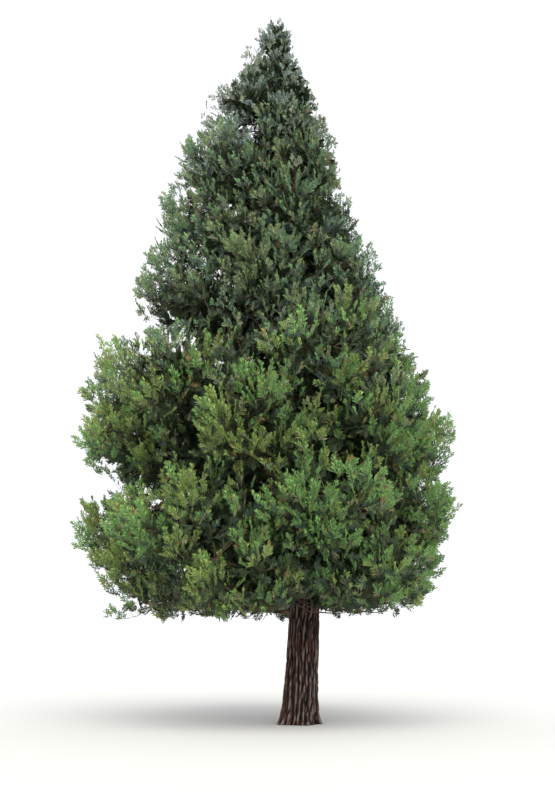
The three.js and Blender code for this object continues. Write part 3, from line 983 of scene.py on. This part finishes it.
dead_limb = np.repeat(np.arange(DEAD_LIMBS), DEAD_EACH)
dead_seat = varied(len(dead_limb), *DEAD_SEATS)
dead_curves = np.array([mass["limb"] for mass in masses[:DEAD_LIMBS]])[dead_limb]
dead_foot, dead_axis = bezier(dead_curves[:, 0], dead_curves[:, 1], dead_curves[:, 2], dead_seat)
dead_side = unit(np.cross(dead_axis, UP))
dead_turn = FULL_TURN * rng.random(len(dead_limb))
dead_ahead = unit(
    DEAD_AHEAD * dead_axis
    + np.cos(dead_turn)[:, None] * dead_side
    + (DEAD_RISE * np.sin(dead_turn) - DEAD_DROOP)[:, None] * UP
)
dead_length = shortened_low(dead_foot, dead_ahead, varied(len(dead_limb), *DEAD_LENGTHS))
fork_of = np.repeat(np.arange(len(dead_limb)), DEAD_FORKS)
fork_seat = varied(len(fork_of), *FORK_SEATS)
fork_foot = dead_foot[fork_of] + (dead_length[fork_of] * fork_seat)[:, None] * dead_ahead[fork_of]
fork_foot = fork_foot - DEAD_SAG * (fork_seat**2 * dead_length[fork_of])[:, None] * UP
fork_ahead = unit(dead_ahead[fork_of] + FORK_TURN * either_way((len(fork_of), 3)))
fork_length = shortened_low(fork_foot, fork_ahead, FORK_SHARE * dead_length[fork_of])
bare_feet = np.concatenate([dead_foot, fork_foot])
bare_aheads = np.concatenate([dead_ahead, fork_ahead])
bare_lengths = np.concatenate([dead_length, fork_length])
bare_thick = np.concatenate([np.full(len(dead_limb), DEAD_THICK), np.full(len(fork_of), FORK_THICK)])


def on_dead_twig(which, share):
    """Points and directions on some bare twigs, which sag."""
    return bent_line(bare_feet[which], bare_aheads[which], bare_lengths[which], -DEAD_SAG, share)


dead_twigs = twigs("dead_twigs", on_dead_twig, len(bare_feet), rings=4, thick=bare_thick, thin=0.0025)
dead_bark = new_material("dead_twig_bark", linear(138, 130, 120), roughness=0.9, specular=0.15)
finish_plain(dead_twigs, dead_bark)

# Stems and branchlets: the living wood of the plumes, thin, round and smooth, brown on the stems and
# green on the young branchlets. Sprays sit on both sides of each branchlet, edge up, and only the wood
# that bears them is made, as far as its last one.
SPRAY_GAP = 0.049
SPRAYS_LEAST = 2
SPRAY_FIRST = 0.38
SPRAY_LENGTH = (0.14, 0.13, 0.12)
LEAF_VARIED = (0.75, 0.5)
SPRAY_LONGEST = 1.1
SPRAY_SHORTENING = 0.25
SPRAY_LIFT = 0.32
SPRAY_ANGLE = (46, 26)
SPRAY_ANGLE_LAST = 0.15
SPRAY_TWIST = 24
FAN_TWIST = 60
KEPT_EASE = 1.22
NEIGHBOUR_SHARE = 0.14
SPRAY_CLEARANCE = 0.02
LEAFY_LEAST = 0.22
STEM_THICK = 0.0035
STEM_THICK_BY_SPAN = 0.008
BRANCHLET_THICK = 0.0042


def turned(vectors, axes, angle):
    """Vectors turned about unit axes square to them: cosine times the vector plus sine times the cross."""
    return np.cos(angle)[..., None] * vectors + np.sin(angle)[..., None] * np.cross(axes, vectors)


def in_own_space(points, owner, ease):
    """Which points lie in the spaces of the masses that own them, or a little way into a neighbour's."""
    kept = np.zeros(len(points), bool)
    for number, mass in enumerate(masses):
        here = owner == number
        kept[here] = inside(mass, points[here], ease, NEIGHBOUR_SHARE)
    return kept


sprays_each = np.maximum(SPRAYS_LEAST, np.round(branch_length / SPRAY_GAP)).astype(int)
spray_branch, spray_number = counted_off(sprays_each)
spray_plume = branch_plume[spray_branch]
spray_mass = plume_mass[spray_plume]
spray_zone = plume_zone[spray_plume]
spray_last = spray_number == sprays_each[spray_branch] - 1
spray_share = SPRAY_FIRST + (1 - SPRAY_FIRST) * (spray_number + 1) / sprays_each[spray_branch]
spray_foot, branch_line = on_branchlet(spray_branch, spray_share)
fan_twist = np.radians(FAN_TWIST) * either_way(len(branch_plume))[spray_branch]
fan_normal = turned(sideways(branch_line), branch_line, fan_twist)
leaf_angle = np.radians(between(*SPRAY_ANGLE, spray_share))
leaf_side = np.where(spray_number % 2 == 0, 1, -1) * np.where(spray_last, SPRAY_ANGLE_LAST, 1)
spray_ahead = turned(branch_line, fan_normal, leaf_angle * leaf_side)
spray_twist = np.radians(SPRAY_TWIST) * either_way(len(spray_branch))
spray_normal = turned(fan_normal, spray_ahead, spray_twist)
spray_ahead = unit(spray_ahead + SPRAY_LIFT * UP)
spray_normal = unit(spray_normal - (spray_normal * spray_ahead).sum(axis=1, keepdims=True) * spray_ahead)
spray_length = np.array(SPRAY_LENGTH)[spray_zone] * varied(len(spray_branch), *LEAF_VARIED)
spray_length = spray_length * (SPRAY_LONGEST - SPRAY_SHORTENING * spray_share)
spray_tip = spray_foot + spray_length[:, None] * spray_ahead

kept = in_own_space(spray_tip, spray_mass, KEPT_EASE)
kept |= (spray_mass >= len(masses)) & (spray_tip[:, 2] > LOWEST_TIP)
kept &= from_trunk(spray_tip) > trunk_radius(spray_tip[:, 2]) + SPRAY_CLEARANCE
kept &= within_outline(spray_tip, plume_mood[spray_plume])
sprays_left = np.bincount(spray_plume[kept], minlength=len(plume_mass))
sprays_grown = np.bincount(spray_plume, minlength=len(plume_mass))
kept &= (sprays_left >= LEAFY_LEAST * sprays_grown)[spray_plume]
leafy_branch = np.unique(spray_branch[kept])
leafy_plume = np.unique(spray_plume[kept])
branch_end = np.zeros(len(branch_plume))
np.maximum.at(branch_end, spray_branch[kept], spray_share[kept])
stem_end = np.zeros(len(plume_mass))
np.maximum.at(stem_end, branch_plume[leafy_branch], branch_share[leafy_branch])


def on_leafy_plume(which, share):
    """The stems of the plumes that kept enough sprays, as far as their last leafy branchlet."""
    return on_plume(leafy_plume[which], share * stem_end[leafy_plume][which])


def on_leafy_branchlet(which, share):
    """The branchlets that kept a spray, as far as their last one."""
    return on_branchlet(leafy_branch[which], share * branch_end[leafy_branch][which])


stem_thick = STEM_THICK + STEM_THICK_BY_SPAN * plume_span[leafy_plume]
stems = twigs("plume_stems", on_leafy_plume, len(leafy_plume), rings=3, thick=stem_thick, thin=0.004)
brown_bark = new_material("twig_bark", linear(92, 74, 58), roughness=0.85, specular=0.2)
finish_plain(stems, brown_bark)
branch_thick = np.full(len(leafy_branch), BRANCHLET_THICK)
branchlets = twigs(
    "branchlets", on_leafy_branchlet, len(leafy_branch), rings=2, thick=branch_thick, thin=0.0016
)
green_bark = new_material("green_twig_bark", linear(80, 84, 52), roughness=0.8, specular=0.2)
finish_plain(branchlets, green_bark)

# Leaves: flat fans of tiny overlapping scale leaves, with finger-like side shoots that curve forward.
# Young tips are bright, older sprays darker, and a few have faded or browned. The bright and dark tints
# also hold painted light and shade: bright on the lit upper, outer side of each puff and mass, dark low
# in them and in the hollows. The crown turns from a warm green at its foot to a paler, greyer one at its
# top, which is painted light from the bright sky behind it. Each tint is one piece of opaque blades.
FINGER_START = np.array([0.08, 0.25, 0.42, 0.58])
FINGER_START_VARIATION = 0.05
FINGER_SIDE = np.array([1, -1, 1, -1])
FINGER_LENGTH = np.array([0.68, 0.66, 0.6, 0.5])
FINGER_ANGLE = np.radians([36, 32, 28, 24])
FINGER_OUT = 0.82
FINGER_FORWARD = 0.22
FINGER_TILT = 0.3
FINGER_TILT_BACK = 0.35
FINGER_WIDTH = 0.135
FINGER_ROLL = np.radians(60)
FINGER_WAIST = 0.72
RACHIS_WIDTH = 0.085
RACHIS_WAIST = 0.45
RACHIS_WAIST_RISE = 0.2
SPRAY_CURL = 0.14


def sprays(name, foot, ahead, normal, length, fingers, width):
    """A piece of fans. Each has a kite-shaped blade along its curled rachis, and one for each finger,
    which leaves the rachis at its own share and angle, curves forward and is rolled about its line."""
    count = len(foot)
    each = (count, fingers)
    side = np.cross(normal, ahead)
    reach = length[:, None]
    rise = SPRAY_CURL * reach * normal
    half = RACHIS_WIDTH * reach * side
    waist = foot + RACHIS_WAIST * reach * ahead + RACHIS_WAIST_RISE * rise
    main = np.stack([foot, waist + half, foot + reach * ahead + rise, waist - half], axis=1)
    start = FINGER_START[:fingers] + FINGER_START_VARIATION * (rng.random(each) - 0.5)
    angle = FINGER_SIDE[:fingers] * FINGER_ANGLE[:fingers] * varied(each, *SIZE_VARIED)
    size = FINGER_LENGTH[:fingers] * varied(each, *LEAF_VARIED) * reach
    ahead = ahead[:, None]
    normal = normal[:, None]
    seat = foot[:, None] + (start * reach)[..., None] * ahead + (start**2)[..., None] * rise[:, None]
    out = np.cos(angle)[..., None] * ahead + np.sin(angle)[..., None] * side[:, None]
    tilt = FINGER_TILT * (rng.random((count, fingers, 1)) - FINGER_TILT_BACK)
    end = seat + size[..., None] * (FINGER_OUT * out + FINGER_FORWARD * ahead + tilt * normal)
    line = unit(end - seat)
    roll = FINGER_ROLL * either_way(each)
    half = turned(unit(np.cross(normal, line)), line, roll) * width * size[..., None]
    waist = seat + FINGER_WAIST * (end - seat)
    blades = np.stack([seat, waist + half, end, waist - half], axis=2).reshape(count, -1, 3)
    points = np.concatenate([main, blades], axis=1)
    faces = many(np.array([[0, 2, 1], [0, 3, 2]]), 4, count * (1 + fingers))
    return make_piece(name, points.reshape(-1, 3), faces, False)


# A spray's brightness picks its tint. Youth along its branchlet, chance and its plume's mood are the
# leaves' own; height on the lit side of its puff and of its mass, outness and the hollows' FILLING_SHADE
# paint light and shade into the tints.
LIT_OUTWARD = 0.5
LIT_UP = 1.2
BRIGHT_BY_SHARE = 0.9
BRIGHT_BY_PUFF = 0.65
BRIGHT_BY_LUMP = 0.55
BRIGHT_BY_OUTNESS = 0.3
BRIGHT_BY_CHANCE = 1.2
BRIGHT_BY_MOOD = 0.35
FILLING_SHADE = 0.25
BROWNED_SHARE = 0.02
WITHERED_SHARE = 0.08
WARM_SHARES = (0.05, 0.85)
WARM_LEFT_SHARE = 0.5
STRAY_SHARE = 0.1

mass_centres = np.array([mass["centre"] for mass in masses])
mass_aheads = np.array([mass["axes"][0] for mass in masses])
mass_sizes = np.array([mass["sizes"].mean() for mass in masses])
nearest_mass = np.linalg.norm(plume["tip"][:, None] - mass_centres[None], axis=2).argmin(axis=1)
lump = nearest_mass[spray_plume]
lump_side = unit(LIT_OUTWARD * mass_aheads + UP)[lump]
height_in_lump = ((spray_foot - mass_centres[lump]) * lump_side).sum(axis=1) / mass_sizes[lump]
puff_side = unit(plume["ahead"] + LIT_UP * UP)[spray_plume]
height_in_puff = ((spray_foot - plume["tip"][spray_plume]) * puff_side).sum(axis=1)
height_in_puff = height_in_puff / plume["puff"][spray_plume]
# Painted light and shade: the puff, mass, outness and hollow terms lighten lit sprays and darken shaded
# ones.
brightness = (
    BRIGHT_BY_SHARE * spray_share
    + BRIGHT_BY_PUFF * height_in_puff
    + BRIGHT_BY_LUMP * height_in_lump
    + BRIGHT_BY_OUTNESS * outness(spray_tip)
    + BRIGHT_BY_CHANCE * rng.random(len(spray_branch))
    + BRIGHT_BY_MOOD * plume_mood[spray_plume]
    - FILLING_SHADE * (spray_mass == len(masses))
)
browned = rng.random(len(spray_branch)) < BROWNED_SHARE
withered = rng.random(len(spray_branch)) < WITHERED_SHARE

# A plume is warm or cool as a whole, more often warm on the crown's left. The leader's are all cool.
leftness = np.array([0.5 - 0.5 * mass["outward"][0] for mass in masses[:-1]] + [0.0])
mass_warmth = WARM_LEFT_SHARE * leftness + (1 - WARM_LEFT_SHARE) * rng.random(len(masses))
mass_warmth = between(*WARM_SHARES, mass_warmth)
mass_warmth[-1] = 0
warm_plume = rng.random(len(plume_mass)) < mass_warmth[nearest_mass]
warm = warm_plume[spray_plume] ^ (rng.random(len(spray_branch)) < STRAY_SHARE)

ZONES = ("low", "middle", "top")
ZONE_STARTS = (0.0, 0.4, 0.7)
ZONE_MARGIN = 0.01
YOUNG_AND_LIT_SHARE = 0.3
DEEP_SHARE = 0.46
YOUNG_START = 0.5
YOUNG_LENGTH = 0.62
YOUNG_LIFT = 0.3
YOUNG_FINGERS = 2
DEEP_FINGERS = 3
YOUNG_AND_LIT_TINTS = ("fresh", "yellowed")
DEEP_TINTS = ("deep", "mossy")
# Tints by zone. Towards the top they are greyer and bluer, and paler at the top: painted light, the glare
# of the bright sky behind the upper crown.
TINTS = {
    "low": {
        "fresh": linear(128, 174, 84),
        "yellowed": linear(146, 174, 82),
        "middling": linear(95, 130, 73),
        "olive": linear(112, 131, 69),
        "deep": linear(51, 70, 54),
        "mossy": linear(64, 75, 47),
        "withered": linear(112, 116, 80),
        "bronze": linear(122, 102, 56),
    },
    "middle": {
        "fresh": linear(122, 163, 98),
        "yellowed": linear(136, 163, 92),
        "middling": linear(88, 116, 85),
        "olive": linear(101, 116, 78),
        "deep": linear(47, 62, 58),
        "mossy": linear(58, 68, 51),
        "withered": linear(106, 112, 86),
        "bronze": linear(112, 96, 60),
    },
    "top": {
        "fresh": linear(146, 172, 143),
        "yellowed": linear(156, 172, 132),
        "middling": linear(104, 123, 113),
        "olive": linear(116, 125, 102),
        "deep": linear(60, 73, 73),
        "mossy": linear(68, 78, 67),
        "withered": linear(116, 122, 108),
        "bronze": linear(112, 106, 80),
    },
}

zone_of_mass = np.searchsorted(ZONE_STARTS, [mass["share"] + ZONE_MARGIN for mass in masses], "right") - 1
# The brightest sprays take the young tints and the darkest the deep ones, so these tints carry painted
# light and shade as well as age.
for zone_number, zone in enumerate(ZONES):
    here = kept & (spray_zone == zone_number)
    young_and_lit = here & (brightness > np.quantile(brightness[here], 1 - YOUNG_AND_LIT_SHARE))
    middling = brightness > np.quantile(brightness[here], DEEP_SHARE)
    tint_of = np.where(middling, np.where(warm, "olive", "middling"), np.where(warm, "mossy", "deep"))
    tint_of = np.where(withered, "withered", tint_of)
    tint_of = np.where(browned, "bronze", tint_of)
    nodes = [mass["node"] for k, mass in enumerate(masses) if zone_of_mass[k] == zone_number]
    for tint, colour in TINTS[zone].items():
        chosen = here & (tint_of == tint)
        if tint in YOUNG_AND_LIT_TINTS:
            chosen = young_and_lit & (warm == (tint == "yellowed"))
        foot = spray_foot[chosen]
        ahead = spray_ahead[chosen]
        normal = spray_normal[chosen]
        length = spray_length[chosen]
        fingers = DEEP_FINGERS if tint in DEEP_TINTS else len(FINGER_START)
        if tint in YOUNG_AND_LIT_TINTS:
            foot = foot + YOUNG_START * length[:, None] * ahead
            ahead = unit(ahead + YOUNG_LIFT * UP)
            length = YOUNG_LENGTH * length
            fingers = YOUNG_FINGERS
        piece = sprays(f"sprays_{zone}_{tint}", foot, ahead, normal, length, fingers, FINGER_WIDTH)
        leaf = new_material(f"{zone}_{tint}_leaves", colour, roughness=0.58, specular=0.38)
        finish_plain(piece, leaf, nodes)

# Inner sprays: the oldest ones, along the inner part of each plume's stem. They are broad and dull, lie
# every way, and close the crown's inside, so that no light comes through its middle. Their dark green is
# partly the colour of old leaves and partly painted shade of the crown's deep inside.
INNER_SEATS = (0.1, 0.55)
INNER_TURN = 1.6
INNER_LENGTH = 0.31
INNER_LENGTH_LEAST = 0.5
INNER_LENGTH_BY_PUFF = 0.5
INNER_FULL_PUFF = 0.38
INNER_DEPTHS = (0.5, 0.9)
INNER_SIZES = (1.1, 0.78)
INNER_EASE = 0.94
INNER_REACH = 0.78
INNER_LOWEST = 2.0
# Drawn for each plume of a mass, of a hollow and of the leader, whose own aren't kept.
INNER_EACH = (8, 11, 8)

inner_each = np.array(INNER_EACH)[np.clip(plume_mass - len(masses) + 1, 0, 2)]
inner_plume = np.repeat(np.arange(len(plume_mass)), inner_each)
inner_foot, inner_axis = on_plume(inner_plume, varied(len(inner_plume), *INNER_SEATS))
inner_ahead = unit(inner_axis + INNER_TURN * either_way((len(inner_plume), 3)))
inner_normal = unit(np.cross(inner_ahead, either_way((len(inner_plume), 3))))
inner_size = INNER_LENGTH_LEAST + INNER_LENGTH_BY_PUFF * plume["puff"][inner_plume] / INNER_FULL_PUFF
inner_size = inner_size * np.interp(outness(inner_foot), INNER_DEPTHS, INNER_SIZES)
inner_length = INNER_LENGTH * inner_size
inner_tip = inner_foot + inner_length[:, None] * inner_ahead
inner_kept = in_own_space(inner_tip, plume_mass[inner_plume], INNER_EASE)
inner_kept |= (plume_mass[inner_plume] == len(masses)) & (outness(inner_tip) < INNER_REACH)
inner_kept &= (inner_tip[:, 2] > INNER_LOWEST) & np.isin(inner_plume, leafy_plume)
inner = sprays(
    "sprays_inner",
    inner_foot[inner_kept],
    inner_ahead[inner_kept],
    inner_normal[inner_kept],
    inner_length[inner_kept],
    fingers=3,
    width=0.2,
)
# Painted shade: a dark, dull green for the crown's inside, over the old leaves' own colour.
shaded_leaf = new_material("shaded_leaves", linear(60, 72, 50), roughness=0.7, specular=0.2)
finish_plain(inner, shaded_leaf)

# Floor: a plain pale ground, flat and dull. It is so much larger than the view that its edges don't
# show from any side.
FLOOR_HALF = 60.0
corners = np.array([[-1, -1, 0], [1, -1, 0], [1, 1, 0], [-1, 1, 0]]) * FLOOR_HALF
floor = make_piece("floor", corners, np.array([[0, 1, 2], [0, 2, 3]]), False)
pale_floor = new_material("pale_floor", linear(204, 203, 200), roughness=0.9, specular=0.1)
floor.data.materials.append(pale_floor)

# Light: an even pale surround, and one wide soft light from high in front. Colours are shown as they
# are, with no film curve.
world = bpy.data.worlds.new("surround")
world.use_nodes = True
surround = world.node_tree.nodes["Background"]
surround.inputs["Color"].default_value = (0.95, 0.97, 1.0, 1.0)
surround.inputs["Strength"].default_value = 1.15
bpy.context.scene.world = world
lamp = bpy.data.lights.new("soft_sun", "SUN")
lamp.energy = 3.1
lamp.angle = np.radians(60)
lamp.color = (1.0, 0.98, 0.94)
lamp_holder = bpy.data.objects.new("soft_sun", lamp)
lamp_holder.rotation_euler = (np.radians(44), np.radians(2), 0)
bpy.context.scene.collection.objects.link(lamp_holder)
bpy.context.scene.view_settings.view_transform = "Standard"

# Camera: at standing height before the tree, tilted up so that the whole crown is in view. Its focal
# length is known in pixels of the picture, whose height, the longer side, takes the sensor's size.
FOCAL_PIXELS = 1042
PICTURE_HEIGHT = 800
SENSOR_SIZE = 36.0
CAMERA_TILT = 12.9

lens = bpy.data.cameras.new("camera")
lens.sensor_width = SENSOR_SIZE
lens.lens = FOCAL_PIXELS / PICTURE_HEIGHT * SENSOR_SIZE
camera = bpy.data.objects.new("camera", lens)
camera.location = (-0.343, -18.2, 1.39)
camera.rotation_euler = (np.radians(90 + CAMERA_TILT), 0, 0)
bpy.context.scene.collection.objects.link(camera)
bpy.context.scene.camera = camera
